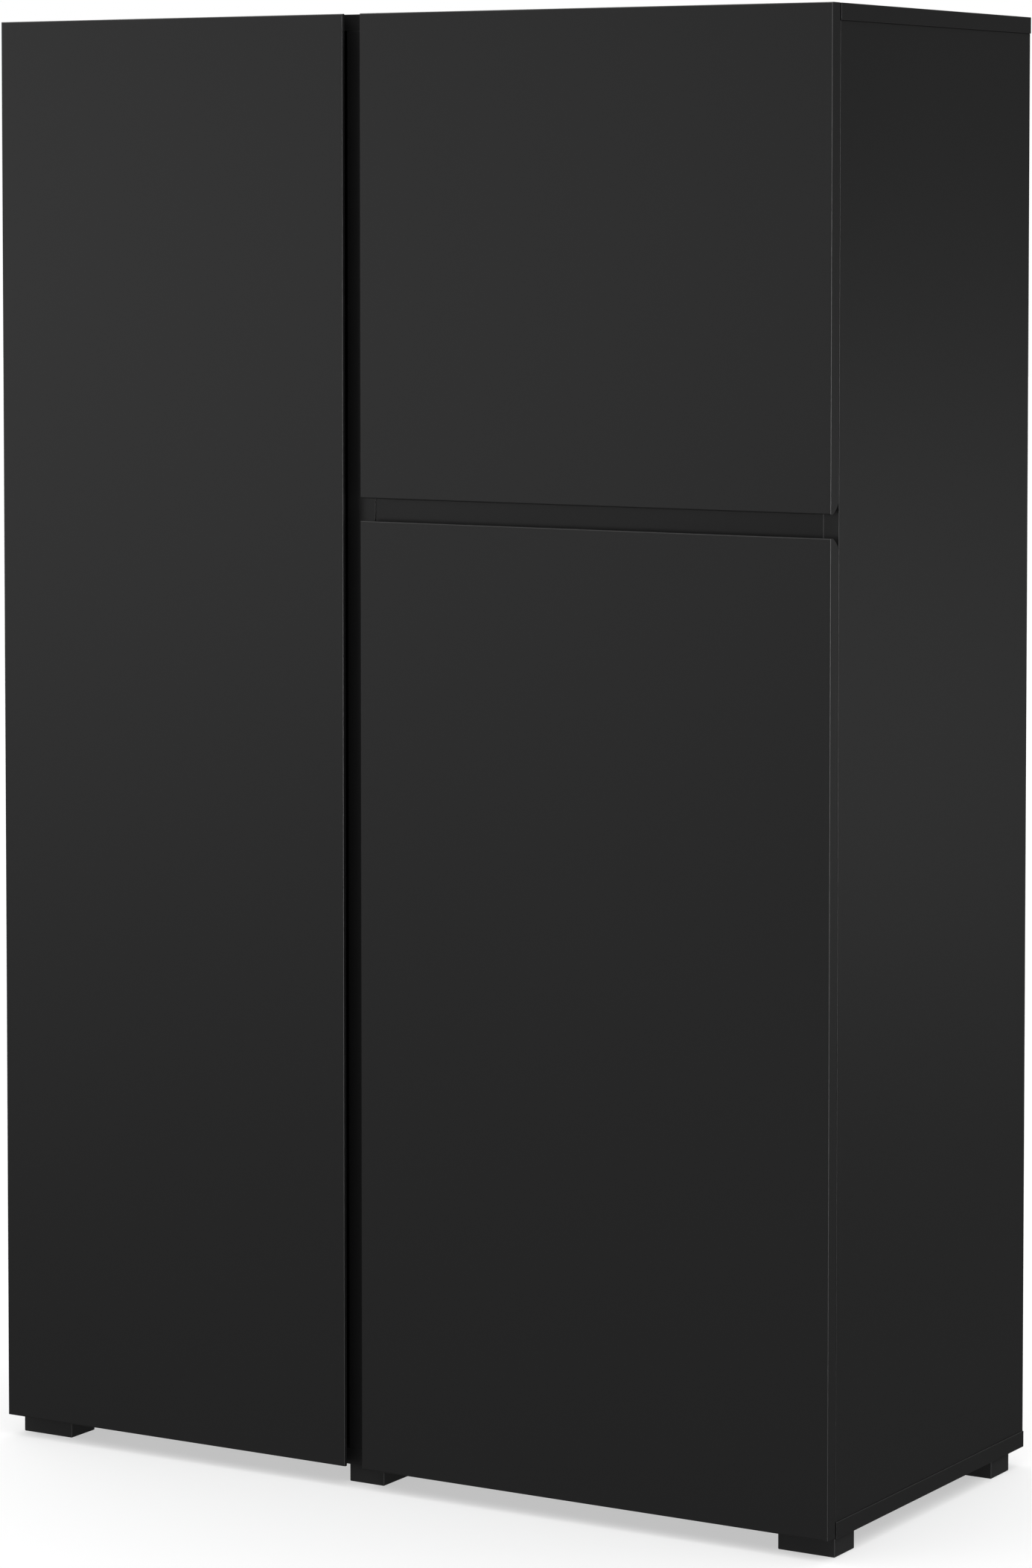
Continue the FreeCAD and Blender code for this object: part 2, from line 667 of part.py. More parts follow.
# ---------------------------------------------------------------- assembly
def build():
    nodes = {}
    upright_joints("left_side", left_inner - board / 2, V(1, 0, 0), carcass_front)
    upright_joints("right_side", right_inner + board / 2, V(-1, 0, 0), carcass_front)
    upright_joints("partition", groove_centre, V(1, 0, 0), strip_back)
    shelf_joints()
    strip_joints()
    groove_for_backs()

    for i, z in enumerate(left_shelf_levels()):
        pins_for("left_side", "partition", left_inner, partition_left, z, pin_row)
        nodes["left_shelf_%d" % (i + 1)] = loose_shelf(left_inner, partition_left, z)
    upper_shelf_level = (mid_shelf_top + inner_top - board) / 2
    pins_for("partition", "right_side", partition_right, right_inner, upper_shelf_level, right_pin_row)
    nodes["upper_shelf"] = loose_shelf(partition_right, right_inner, upper_shelf_level)

    plate_screws = []
    arm_screws = []
    for name, hinges in door_hinges.items():
        cups = [hinge_cup(h) for h in hinges]
        plates = [hinge_plate(h) for h in hinges]
        nodes[name + "_hinge_cups"] = group([cup for cup, screws in cups])
        nodes[name + "_cup_screws"] = group([screw for cup, screws in cups for screw in screws])
        nodes[name + "_hinge_pins"] = group([hinge_pin(h) for h in hinges])
        nodes[name + "_hinge_arms"] = group([hinge_arm(h) for h in hinges])
        nodes[name + "_hinge_plates"] = group([plate for plate, screws in plates])
        plate_screws += [screw for plate, screws in plates for screw in screws]
        arm_screws += [arm_screw(h) for h in hinges]
    nodes["hinge_plate_screws"] = group(plate_screws)
    nodes["hinge_arm_screws"] = group(arm_screws)

    feet = all_feet()
    for name, (block, screw) in feet.items():
        nodes[name] = block
    nodes["foot_screws"] = group([screw for block, screw in feet.values()])

    nodes["clothes_rod"] = clothes_rod()
    front_bracket, front_screws = rod_bracket(rod_front + bracket_from_end)
    rear_bracket, rear_screws = rod_bracket(rod_rear - bracket_from_end - bracket_length)
    nodes["rod_bracket_front"] = front_bracket
    nodes["rod_bracket_rear"] = rear_bracket
    nodes["rod_bracket_screws"] = group(front_screws + rear_screws)

    left_bracket, left_screw = wall_bracket(groove_centre - wall_bracket_offset)
    right_bracket, right_screw = wall_bracket(groove_centre + wall_bracket_offset)
    nodes["wall_bracket_left"] = left_bracket
    nodes["wall_bracket_right"] = right_bracket
    nodes["wall_bracket_screws"] = group([left_screw, right_screw])

    nodes["door_bumpers"] = group(bumpers())
    nodes["shelf_pins"] = group(shelf_pins)
    nodes["cam_locks"] = group(cam_locks)
    nodes["cam_bolts"] = group(cam_bolts)
    nodes["dowels"] = group(dowels)

    boards = {
        "top_panel": flat_panel(inner_top),
        "bottom_panel": flat_panel(base),
        "left_side": upright(left_inner - board, carcass_front),
        "right_side": upright(right_inner, carcass_front),
        "partition": upright(partition_left, strip_back),
        "stile": make_stile(),
        "mid_rail": make_mid_rail(),
        "mid_shelf": make_mid_shelf(),
        "back_panel_left": back_panel(left_inner, partition_left),
        "back_panel_right": back_panel(partition_right, right_inner),
        "left_door": make_left_door(),
        "upper_right_door": make_upper_right_door(),
        "lower_right_door": make_lower_right_door(),
    }
    for name, blank in boards.items():
        nodes[name] = cut(blank, holes.get(name, []))
    return nodes


os.makedirs("parts", exist_ok=True)
for node_name, shape in build().items():
    shape.exportStep("parts/%s.step" % node_name)
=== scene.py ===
import bpy
import bmesh
import math
from mathutils import Matrix, Vector


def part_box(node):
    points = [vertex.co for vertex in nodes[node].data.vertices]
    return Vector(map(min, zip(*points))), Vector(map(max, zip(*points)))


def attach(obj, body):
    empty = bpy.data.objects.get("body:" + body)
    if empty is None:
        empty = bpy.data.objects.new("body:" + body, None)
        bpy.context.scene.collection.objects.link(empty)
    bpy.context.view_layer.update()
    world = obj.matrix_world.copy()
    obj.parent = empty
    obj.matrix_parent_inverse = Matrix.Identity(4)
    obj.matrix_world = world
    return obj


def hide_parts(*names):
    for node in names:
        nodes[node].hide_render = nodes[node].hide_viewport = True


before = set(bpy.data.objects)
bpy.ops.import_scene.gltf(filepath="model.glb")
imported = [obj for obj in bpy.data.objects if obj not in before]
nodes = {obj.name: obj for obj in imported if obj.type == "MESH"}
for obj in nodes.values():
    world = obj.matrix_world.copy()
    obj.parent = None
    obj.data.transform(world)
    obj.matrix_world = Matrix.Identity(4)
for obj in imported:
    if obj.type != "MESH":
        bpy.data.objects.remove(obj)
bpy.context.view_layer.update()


# ------------------------------------------------------------------ carcass boards
# The case is 16 mm particle board faced with black melamine and edged all round with matching ABS
# strip. The press plate leaves a fine, even pearl in the melamine, so it shines softly and unevenly.
class Wire:
    """One output in a material's nodes, so that shader maths reads as ordinary expressions."""

    def __init__(self, material, output):
        self.material = material
        self.output = output

    def put(self, socket, value):
        if isinstance(value, Wire):
            self.material.node_tree.links.new(value.output, socket)
        else:
            socket.default_value = value

    def node(self, kind, settings=None, inputs=None, output=0):
        """Adds a node of this kind; settings are set first, then values or links of its sockets."""
        made = self.material.node_tree.nodes.new(kind)
        for name, value in (settings or {}).items():
            setattr(made, name, value)
        for name, value in (inputs or {}).items():
            self.put(made.inputs[name], value)
        return Wire(self.material, made.outputs[output])

    def maths(self, operation, first, second):
        return self.node("ShaderNodeMath", {"operation": operation}, {0: first, 1: second})

    def __add__(self, other):
        return self.maths("ADD", self, other)

    def __radd__(self, other):
        return self.maths("ADD", other, self)

    def __sub__(self, other):
        return self.maths("SUBTRACT", self, other)

    def __rsub__(self, other):
        return self.maths("SUBTRACT", other, self)

    def __mul__(self, other):
        return self.maths("MULTIPLY", self, other)

    def __rmul__(self, other):
        return self.maths("MULTIPLY", other, self)

    def __gt__(self, other):
        return self.maths("GREATER_THAN", self, other)

    def __lt__(self, other):
        return self.maths("LESS_THAN", self, other)

    def noise(self, size, detail, stretch=(1.0, 1.0, 1.0)):
        """Soft noise on this position, with lumps about size metres across."""
        scaled = self.node("ShaderNodeMapping", inputs={"Vector": self, "Scale": stretch})
        return self.node("ShaderNodeTexNoise",
                         inputs={"Vector": scaled, "Scale": 1.0 / size, "Detail": detail})

    def blend(self, dark, light):
        """A colour from dark to light as this value goes from 0 to 1."""
        return self.node("ShaderNodeMix", {"data_type": "RGBA"},
                         {"Factor": self, 6: (*dark, 1.0), 7: (*light, 1.0)}, 2)

    def bump(self, height):
        """A surface normal with this value as its relief, up to height metres."""
        return self.node("ShaderNodeBump", inputs={"Height": self, "Distance": height})


def new_material(name):
    """A material with its main shader and the position that its patterns read."""
    material = bpy.data.materials.new(name)
    material.use_nodes = True
    shader = material.node_tree.nodes["Principled BSDF"]
    coordinates = material.node_tree.nodes.new("ShaderNodeTexCoord")
    return material, shader, Wire(material, coordinates.outputs["Object"])


def set_shader(shader, place, **values):
    """Sets or links the main shader's sockets; an underscore stands for a space in a socket's name."""
    for name, value in values.items():
        place.put(shader.inputs[name.replace("_", " ")], value)


def finish_nodes(material, *names):
    """Gives these nodes one finish."""
    for name in names:
        nodes[name].data.materials.clear()
        nodes[name].data.materials.append(material)


BOARD_BLACK = (0.0080, 0.0080, 0.0081)
BOARD_GREY = (0.0095, 0.0095, 0.0096)
FACING_SPECULAR = 0.45
BOARD_ROUGHNESS = 0.40
PEARL_SIZE = 0.0011
PEARL_HEIGHT = 0.000012


def melamine():
    material, shader, place = new_material("black_melamine")
    pearl = place.noise(PEARL_SIZE, 3.0)
    cloud = place.noise(0.35, 2.0)
    set_shader(shader, place, Base_Color=cloud.blend(BOARD_BLACK, BOARD_GREY),
               Roughness=BOARD_ROUGHNESS + (pearl - 0.5) * 0.10 + (cloud - 0.5) * 0.04,
               Normal=pearl.bump(PEARL_HEIGHT), Specular_IOR_Level=FACING_SPECULAR)
    return material


finish_nodes(melamine(), "top_panel", "bottom_panel", "left_side", "right_side", "partition", "stile",
             "mid_rail", "mid_shelf", "left_shelf_1", "left_shelf_2", "left_shelf_3", "left_shelf_4",
             "upper_shelf")


# ------------------------------------------------------------------ doors
# The doors are fibreboard wrapped in a super-matt black foil, which runs over the eased edges and
# into the finger scoops without a joint. The foil is smoother than the boards.
def door_foil():
    material, shader, place = new_material("black_foil")
    grain = place.noise(0.0006, 2.0)
    cloud = place.noise(0.5, 1.0)
    set_shader(shader, place, Base_Color=cloud.blend(BOARD_BLACK, BOARD_GREY),
               Roughness=0.42 + (grain - 0.5) * 0.06 + (cloud - 0.5) * 0.03,
               Normal=grain.bump(0.000006), Specular_IOR_Level=FACING_SPECULAR)
    return material


finish_nodes(door_foil(), "left_door", "upper_right_door", "lower_right_door")


# ------------------------------------------------------------------ back panels
# Thin hardboard sheets that slide into grooves in the case. The pressed fibre is printed black on
# the face that shows inside and left raw behind.
def hardboard():
    material, shader, place = new_material("hardboard")
    fibre = place.noise(0.0016, 4.0, (1.0, 1.0, 0.55))
    cloud = place.noise(0.06, 3.0)
    depth = place.node("ShaderNodeSeparateXYZ", inputs={"Vector": place}, output=1)
    low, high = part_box("back_panel_left")
    raw = depth > (low.y + high.y) / 2
    brown = (fibre * 0.7 + cloud * 0.3).blend((0.085, 0.048, 0.026), (0.20, 0.125, 0.072))
    printed = cloud.blend(BOARD_BLACK, BOARD_GREY)
    colour = place.node("ShaderNodeMix", {"data_type": "RGBA"},
                        {"Factor": raw, 6: printed, 7: brown}, 2)
    set_shader(shader, place, Base_Color=colour, Roughness=0.5 + raw * 0.25 + (fibre - 0.5) * 0.1,
               Normal=fibre.bump(0.00003))
    return material


finish_nodes(hardboard(), "back_panel_left", "back_panel_right")


# ------------------------------------------------------------------ feet
# Moulded polypropylene blocks screwed up into the bottom panel. The mould was spark eroded, which
# leaves an even fine grain that looks greyer than the boards, with a faint cloud where it was handled.
def grained_plastic():
    material, shader, place = new_material("foot_plastic")
    spark = place.noise(0.0005, 3.0)
    cloud = place.noise(0.02, 2.0)
    mottle = spark * 0.6 + cloud * 0.4
    set_shader(shader, place, Base_Color=mottle.blend((0.008, 0.008, 0.008), (0.016, 0.016, 0.016)),
               Roughness=0.52 + (spark - 0.5) * 0.2, Normal=spark.bump(0.00004))
    return material


foot_plastic = grained_plastic()
finish_nodes(foot_plastic, "foot_front_left", "foot_front_middle", "foot_front_right", "foot_rear_left",
             "foot_rear_middle", "foot_rear_right")


# ------------------------------------------------------------------ cam locks and dowels
# The cams are die cast zinc, dull from the tumbling barrel, and sit flush in the boards. The dowels
# are turned from beech, pushed into the board ends and hidden once the case is up.
def cast_zinc():
    material, shader, place = new_material("cast_zinc")
    grain = place.noise(0.0004, 4.0)
    tumble = place.noise(0.004, 3.0)
    set_shader(shader, place, Base_Color=tumble.blend((0.30, 0.30, 0.31), (0.46, 0.46, 0.47)),
               Metallic=1.0, Roughness=0.42 + (grain - 0.5) * 0.25, Normal=grain.bump(0.00003))
    return material


def beech():
    material, shader, place = new_material("beech")
    rays = place.noise(0.0012, 3.0, (1.0, 0.25, 1.0))
    tone = place.noise(0.01, 2.0)
    figure = rays * 0.6 + tone * 0.4
    set_shader(shader, place, Base_Color=figure.blend((0.36, 0.21, 0.11), (0.58, 0.40, 0.24)),
               Roughness=0.62 + (rays - 0.5) * 0.15, Normal=rays.bump(0.00003))
    return material


CASTING_EDGE = 0.00018
WELD = 0.000001
SMOOTH_BELOW = math.radians(40)
BREAK_ABOVE = math.radians(35)
FLAT_WITHIN = math.radians(1)


def only(piece):
    """Selects this piece alone and makes it active."""
    bpy.ops.object.select_all(action="DESELECT")
    piece.select_set(True)
    bpy.context.view_layer.objects.active = piece


def apply_modifiers(piece):
    """Makes every modifier of a piece part of its mesh."""
    only(piece)
    for modifier in list(piece.modifiers):
        bpy.ops.object.modifier_apply(modifier=modifier.name)


def shade(piece):
    """Smooth shading over the rounded edges, with the flats left truly flat."""
    only(piece)
    bpy.ops.object.shade_smooth_by_angle(angle=SMOOTH_BELOW)
    weigh = piece.modifiers.new("flats", "WEIGHTED_NORMAL")
    weigh.keep_sharp = True
    apply_modifiers(piece)


def break_edges(piece, width):
    """Rounds the sharp edges of a piece as tumbling or pressing does."""
    bevel = piece.modifiers.new("broken_edges", "BEVEL")
    bevel.width = width
    bevel.segments = 2
    bevel.limit_method = "ANGLE"
    bevel.angle_limit = BREAK_ABOVE
    bevel.use_clamp_overlap = True
    apply_modifiers(piece)
    shade(piece)


def pressed_from(node, name, edge):
    """The solids of a node as clean faces, with their edges broken, in place of that node."""
    piece = bpy.data.objects.new(name, nodes[node].data.copy())
    bpy.context.scene.collection.objects.link(piece)
    only(piece)
    bpy.ops.mesh.customdata_custom_splitnormals_clear()
    bpy.ops.object.mode_set(mode="EDIT")
    bpy.ops.mesh.select_all(action="SELECT")
    bpy.ops.mesh.remove_doubles(threshold=WELD)
    bpy.ops.mesh.dissolve_limited(angle_limit=FLAT_WITHIN)
    bpy.ops.object.mode_set(mode="OBJECT")
    break_edges(piece, edge)
    return piece


def fit_piece(piece, material, body, slot, *replaced):
    """Gives a piece its finish and its body, and hides the nodes that it stands for. The slot is not used.
    """
    piece.data.materials.clear()
    piece.data.materials.append(material)
    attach(piece, body)
    if replaced:
        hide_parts(*replaced)


castings = pressed_from("cam_locks", "cam_lock_castings", CASTING_EDGE)
fit_piece(castings, cast_zinc(), "carcass", "zinc_casting", "cam_locks")
finish_nodes(beech(), "dowels")


# ------------------------------------------------------------------ screws and cam bolts
# Countersunk and pan head steel screws with a bright zinc plating and a cross recess punched into
# each head. The plating has a faint blue and yellow passivated cloud.
def zinc_plate():
    material, shader, place = new_material("zinc_plate")
    grain = place.noise(0.0003, 3.0)
    cloud = place.noise(0.003, 2.0)
    set_shader(shader, place, Base_Color=cloud.blend((0.50, 0.52, 0.56), (0.68, 0.66, 0.60)),
               Metallic=1.0, Roughness=0.26 + (grain - 0.5) * 0.2, Normal=grain.bump(0.00001))
    return material


def pick(piece, test):
    """In edit mode, selects the faces whose centre and normal pass this test, and no others."""
    mesh = bmesh.from_edit_mesh(piece.data)
    for face in mesh.faces:
        face.select_set(test(face.calc_center_median(), face.normal))
    bmesh.update_edit_mesh(piece.data)


def solids_of(node):
    """The lowest and highest corner of each separate solid in a node."""
    mesh = bmesh.new()
    mesh.from_mesh(nodes[node].data)
    bmesh.ops.remove_doubles(mesh, verts=mesh.verts, dist=WELD)
    found = []
    waiting = set(mesh.verts)
    while waiting:
        reached = [waiting.pop()]
        places = []
        while reached:
            vert = reached.pop()
            places.append(vert.co.copy())
            for edge in vert.link_edges:
                other = edge.other_vert(vert)
                if other in waiting:
                    waiting.remove(other)
                    reached.append(other)
        low = Vector([min(p[i] for p in places) for i in range(3)])
        high = Vector([max(p[i] for p in places) for i in range(3)])
        found.append((low, high))
    mesh.free()
    return sorted(found, key=lambda pair: tuple(round(v, 5) for v in pair[0]))


SCREW_EDGE = 0.00012
PUNCH_CORE = 0.0009
PUNCH_WING = 0.0012
PUNCH_DEEPER = 3.4
PUNCH_TAPER = 0.35


def cross_punch():
    """The point of the punch that makes a cross recess, pointing down from the middle of its face."""
    bpy.ops.object.select_all(action="DESELECT")
    bpy.ops.mesh.primitive_cube_add(size=PUNCH_CORE, location=(0, 0, 0))
    punch = bpy.context.object
    bpy.ops.object.mode_set(mode="EDIT")
    bpy.ops.mesh.select_mode(type="FACE")
    for axis in (Vector((1, 0, 0)), Vector((-1, 0, 0)), Vector((0, 1, 0)), Vector((0, -1, 0))):
        pick(punch, lambda middle, normal: normal.dot(axis) > 0.9 and middle.dot(axis) > PUNCH_CORE * 0.45)
        bpy.ops.mesh.extrude_region_move(TRANSFORM_OT_translate={"value": axis * PUNCH_WING})
    bpy.ops.mesh.select_all(action="SELECT")
    bpy.ops.transform.resize(value=(1, 1, PUNCH_DEEPER))
    pick(punch, lambda middle, normal: normal.z < -0.9)
    bpy.ops.transform.resize(value=(PUNCH_TAPER, PUNCH_TAPER, 1.0), center_override=(0, 0, 0))
    bpy.ops.object.mode_set(mode="OBJECT")
    return punch


def joined(pieces, name):
    """These objects as one."""
    only(pieces[0])
    for piece in pieces:
        piece.select_set(True)
    bpy.ops.object.join()
    whole = bpy.context.object
    whole.name = name
    return whole


def copies_at(piece, name, matrices):
    """One object made of copies of a piece, one for each matrix."""
    copies = []
    for matrix in matrices:
        copy = piece.copy()
        copy.data = piece.data.copy()
        bpy.context.scene.collection.objects.link(copy)
        copy.data.transform(matrix)
        copies.append(copy)
    bpy.data.objects.remove(piece)
    return joined(copies, name)


def cut_with(piece, tool):
    """Cuts a tool out of a piece and removes the tool."""
    cut = piece.modifiers.new("cut", "BOOLEAN")
    cut.operation = "DIFFERENCE"
    cut.solver = "EXACT"
    cut.object = tool
    apply_modifiers(piece)
    bpy.data.objects.remove(tool)
    shade(piece)


def facing(way, place):
    """The matrix that turns +Z to face this way, at this place."""
    return Matrix.Translation(place) @ way.to_track_quat("Z", "Y").to_matrix().to_4x4()


def head_place(low, high, axis, outward):
    """The matrix of a screw's head: the end of its box on this axis, facing outward."""
    middle = (low + high) / 2
    middle[axis] = high[axis] if outward > 0 else low[axis]
    way = Vector((0, 0, 0))
    way[axis] = outward
    return facing(way, middle)


def punched_screws(node, name, axis, outward, material, body):
    """A node's screws, each with a cross recess in its head. outward(middle) says which way it faces."""
    screws = pressed_from(node, name, SCREW_EDGE)
    heads = [head_place(low, high, axis, outward((low + high) / 2)) for low, high in solids_of(node)]
    cut_with(screws, copies_at(cross_punch(), "punches", heads))
    fit_piece(screws, material, body, "zinc_steel", node)


def into_case(middle):
    """The side screws' heads face the middle of the case."""
    return -1 if middle.x > 0 else 1


def downward(middle):
    """The heads of screws driven up face the floor."""
    return -1


def rearward(middle):
    """The cup screws' heads face the rear of their door."""
    return 1


bright_zinc = zinc_plate()
finish_nodes(bright_zinc, "cam_bolts")
for door, body in (("left", "left_door"), ("upper", "upper_right_door"), ("lower", "lower_right_door")):
    punched_screws(door + "_cup_screws", door + "_cup_screw_set", 1, rearward, bright_zinc, body)
for node, name, axis, outward in (("hinge_plate_screws", "plate_screw_set", 0, into_case),
                                  ("hinge_arm_screws", "arm_screw_set", 0, into_case),
                                  ("rod_bracket_screws", "rod_bracket_screw_set", 2, downward),
                                  ("wall_bracket_screws", "wall_bracket_screw_set", 2, downward),
                                  ("foot_screws", "foot_screw_set", 2, downward)):
    punched_screws(node, name, axis, outward, bright_zinc, "carcass")


# ------------------------------------------------------------------ shelf pins
# Turned steel pins pushed into the rows of holes. A thin collar stops each pin at the face of the
# board, inside the small gap at the end of the shelf, and the nose that carries the shelf is rounded.
COLLAR_RADIUS = 0.0036
COLLAR_THICKNESS = 0.0007
NOSE_ROUND = 0.0006
PIN_EDGE = 0.0001
ALONG_X = (0, math.pi / 2, 0)
ALONG_Y = (math.pi / 2, 0, 0)


def round_blank(radius, length, place, turn, sides):
    """A short round bar with its middle at this place, to be worked into a piece."""
    bpy.ops.object.select_all(action="DESELECT")
    bpy.ops.mesh.primitive_cylinder_add(vertices=sides, radius=radius, depth=length, location=place,
                                        rotation=turn)
    blank = bpy.context.object
    bpy.ops.object.transform_apply(location=True, rotation=True, scale=True)
    return blank


def shelf_pin(radius, sunk, nose):
    """One pin along +X, with the face of the board at the origin."""
    pin = round_blank(COLLAR_RADIUS, COLLAR_THICKNESS, (COLLAR_THICKNESS / 2, 0, 0), ALONG_X, 24)
    bpy.ops.object.mode_set(mode="EDIT")
    bpy.ops.mesh.select_mode(type="FACE")
    for way, length in ((1, nose - COLLAR_THICKNESS), (-1, sunk)):
        pick(pin, lambda middle, normal: normal.x * way > 0.9)
        bpy.ops.mesh.inset(thickness=COLLAR_RADIUS - radius)
        bpy.ops.mesh.extrude_region_move(TRANSFORM_OT_translate={"value": (way * length, 0, 0)})
        bpy.ops.mesh.bevel(offset=NOSE_ROUND, segments=3, affect="EDGES")
    bpy.ops.object.mode_set(mode="OBJECT")
    break_edges(pin, PIN_EDGE)
    return pin


pin_boxes = solids_of("shelf_pins")
left_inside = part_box("left_side")[1].x
right_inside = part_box("right_side")[0].x
partition_low, partition_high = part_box("partition")
PIN_SUNK = left_inside - pin_boxes[0][0].x
PIN_NOSE = pin_boxes[0][1].x - left_inside
PIN_RADIUS = (pin_boxes[0][1].z - pin_boxes[0][0].z) / 2


def pin_place(low, high):
    """The matrix that puts a pin in its hole, with its nose into the compartment."""
    middle = (low + high) / 2
    faces = [(left_inside, 1), (partition_low.x, -1), (partition_high.x, 1), (right_inside, -1)]
    x, way = min(faces, key=lambda face: abs(face[0] + face[1] * (PIN_NOSE - PIN_SUNK) / 2 - middle.x))
    turn = Matrix.Identity(4) if way > 0 else Matrix.Rotation(math.pi, 4, "Z")
    return Matrix.Translation((x, middle.y, middle.z)) @ turn


turned_pins = copies_at(shelf_pin(PIN_RADIUS, PIN_SUNK, PIN_NOSE), "turned_shelf_pins",
                        [pin_place(low, high) for low, high in pin_boxes])
fit_piece(turned_pins, bright_zinc, "carcass", "zinc_steel", "shelf_pins")


# ------------------------------------------------------------------ hinges
# Cups, arms and plates are pressed from strip steel, tumbled and nickel plated, so every edge is
# softly broken. Each arm has a long slot for its depth setting and a small setting screw before it.
def nickel_plate():
    material, shader, place = new_material("nickel_plate")
    drawn = place.noise(0.0007, 3.0, (1.0, 1.0, 0.3))
    cloud = place.noise(0.006, 2.0)
    set_shader(shader, place, Base_Color=cloud.blend((0.52, 0.50, 0.46), (0.64, 0.62, 0.58)),
               Metallic=1.0, Roughness=0.24 + (drawn - 0.5) * 0.16, Normal=drawn.bump(0.00001))
    return material


CUP_EDGE = 0.00022
PLATE_EDGE = 0.0003
ARM_EDGE = 0.00025
ARM_SHELL_INSET = 0.008
SLOT_LENGTH = 0.013
SLOT_RADIUS = 0.0018
SLOT_FROM_SHELL = 0.024
SLOT_REACH = 0.006
SLOT_PUNCH_SUNK = 0.001
SETTING_FROM_SHELL = 0.0085
SETTING_RADIUS = 0.0026
SETTING_SHOULDER = 0.0010
SETTING_HEAD = 0.0012
SETTING_SHANK = 0.004
SETTING_EDGE = 0.0002


def slot_punch(x, y, z):
    """An upright-sided bar with round ends, lying along Y, that cuts the slot in an arm."""
    punch = round_blank(SLOT_RADIUS, SLOT_REACH, (x, y, z), ALONG_X, 24)
    for vertex in punch.data.vertices:
        if abs(vertex.co.y - y) > SLOT_RADIUS * 0.05:
            vertex.co.y += math.copysign(SLOT_LENGTH / 2 - SLOT_RADIUS, vertex.co.y - y)
    return punch


def setting_screw(x, y, z, way):
    """The small setting screw in an arm: a flat head with a cross recess, above the shell."""
    screw = round_blank(SETTING_RADIUS, SETTING_HEAD, (x, y, z), ALONG_X, 32)
    bpy.ops.object.mode_set(mode="EDIT")
    bpy.ops.mesh.select_mode(type="FACE")
    pick(screw, lambda middle, normal: normal.x * way < -0.9)
    bpy.ops.mesh.inset(thickness=SETTING_SHOULDER)
    bpy.ops.mesh.extrude_region_move(TRANSFORM_OT_translate={"value": (-way * SETTING_SHANK, 0, 0)})
    bpy.ops.object.mode_set(mode="OBJECT")
    break_edges(screw, SETTING_EDGE)
    punch = cross_punch()
    punch.data.transform(facing(Vector((way, 0, 0)), (x + way * SETTING_HEAD / 2, y, z)))
    cut_with(screw, punch)
    return screw


nickel = nickel_plate()
shell_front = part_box("left_side")[0].y + ARM_SHELL_INSET
for door, body, way in (("left", "left_door", 1), ("upper", "upper_right_door", -1),
                        ("lower", "lower_right_door", -1)):
    cups = pressed_from(door + "_hinge_cups", door + "_hinge_cup_pressings", CUP_EDGE)
    fit_piece(cups, nickel, body, "nickel_steel", door + "_hinge_cups")
    plates = pressed_from(door + "_hinge_plates", door + "_hinge_plate_pressings", PLATE_EDGE)
    fit_piece(plates, nickel, "carcass", "nickel_steel", door + "_hinge_plates")
    finish_nodes(nickel, door + "_hinge_pins")
    arms = pressed_from(door + "_hinge_arms", door + "_hinge_arm_pressings", ARM_EDGE)
    setting_screws = []
    for low, high in solids_of(door + "_hinge_arms"):
        level = (low.z + high.z) / 2
        face = high.x if way > 0 else low.x
        cut_with(arms, slot_punch(face - way * SLOT_PUNCH_SUNK, shell_front + SLOT_FROM_SHELL, level))
        setting_screws.append(setting_screw(face + way * SETTING_HEAD / 3, shell_front + SETTING_FROM_SHELL,
                                            level, way))
    for number, screw in enumerate(setting_screws):
        screw.name = "%s_setting_screw_%d" % (door, number + 1)
        fit_piece(screw, bright_zinc, "carcass", "zinc_steel")
    fit_piece(arms, nickel, "carcass", "nickel_steel", door + "_hinge_arms")


# ------------------------------------------------------------------ clothes rod, hangers and wall brackets
# An oval steel tube in black powder coat, held in two pressed hangers. Black plastic plugs close its
# cut ends. The wall brackets under the top panel have the same coat.
def powder_coat():
    material, shader, place = new_material("black_powder_coat")
    peel = place.noise(0.0009, 2.0)
    fleck = place.noise(0.0002, 2.0)
    set_shader(shader, place, Base_Color=peel.blend((0.010, 0.010, 0.010), (0.018, 0.018, 0.018)),
               Roughness=0.40 + (fleck - 0.5) * 0.2, Normal=peel.bump(0.00004))
    return material


PLUG_RIM = 0.0022
PLUG_DEPTH = 0.011
PLUG_STEP = 0.0014
PLUG_ROUND = 0.0012
PLUG_EDGE = 0.0002
BRACKET_EDGE = 0.0004


def rod_plug(way, low, high):
    """A plug for one end of the rod: a rounded oval rim, and a body pushed into the tube."""
    middle = (low + high) / 2
    half_width = (high.x - low.x) / 2
    half_flat = (high.z - low.z) / 2 - half_width
    end = high.y if way > 0 else low.y
    plug = round_blank(half_width, PLUG_RIM, (middle.x, end + way * PLUG_RIM / 2, middle.z), ALONG_Y, 48)
    for vertex in plug.data.vertices:
        if abs(vertex.co.z - middle.z) > half_width * 0.02:
            vertex.co.z += math.copysign(half_flat, vertex.co.z - middle.z)
    bpy.ops.object.mode_set(mode="EDIT")
    bpy.ops.mesh.select_mode(type="FACE")
    pick(plug, lambda centre, normal: normal.y * way < -0.9)
    bpy.ops.mesh.inset(thickness=PLUG_STEP)
    bpy.ops.mesh.extrude_region_move(TRANSFORM_OT_translate={"value": (0, -way * PLUG_DEPTH, 0)})
    pick(plug, lambda centre, normal: normal.y * way > 0.9)
    bpy.ops.mesh.bevel(offset=PLUG_ROUND, segments=4, affect="EDGES")
    bpy.ops.object.mode_set(mode="OBJECT")
    break_edges(plug, PLUG_EDGE)
    return plug


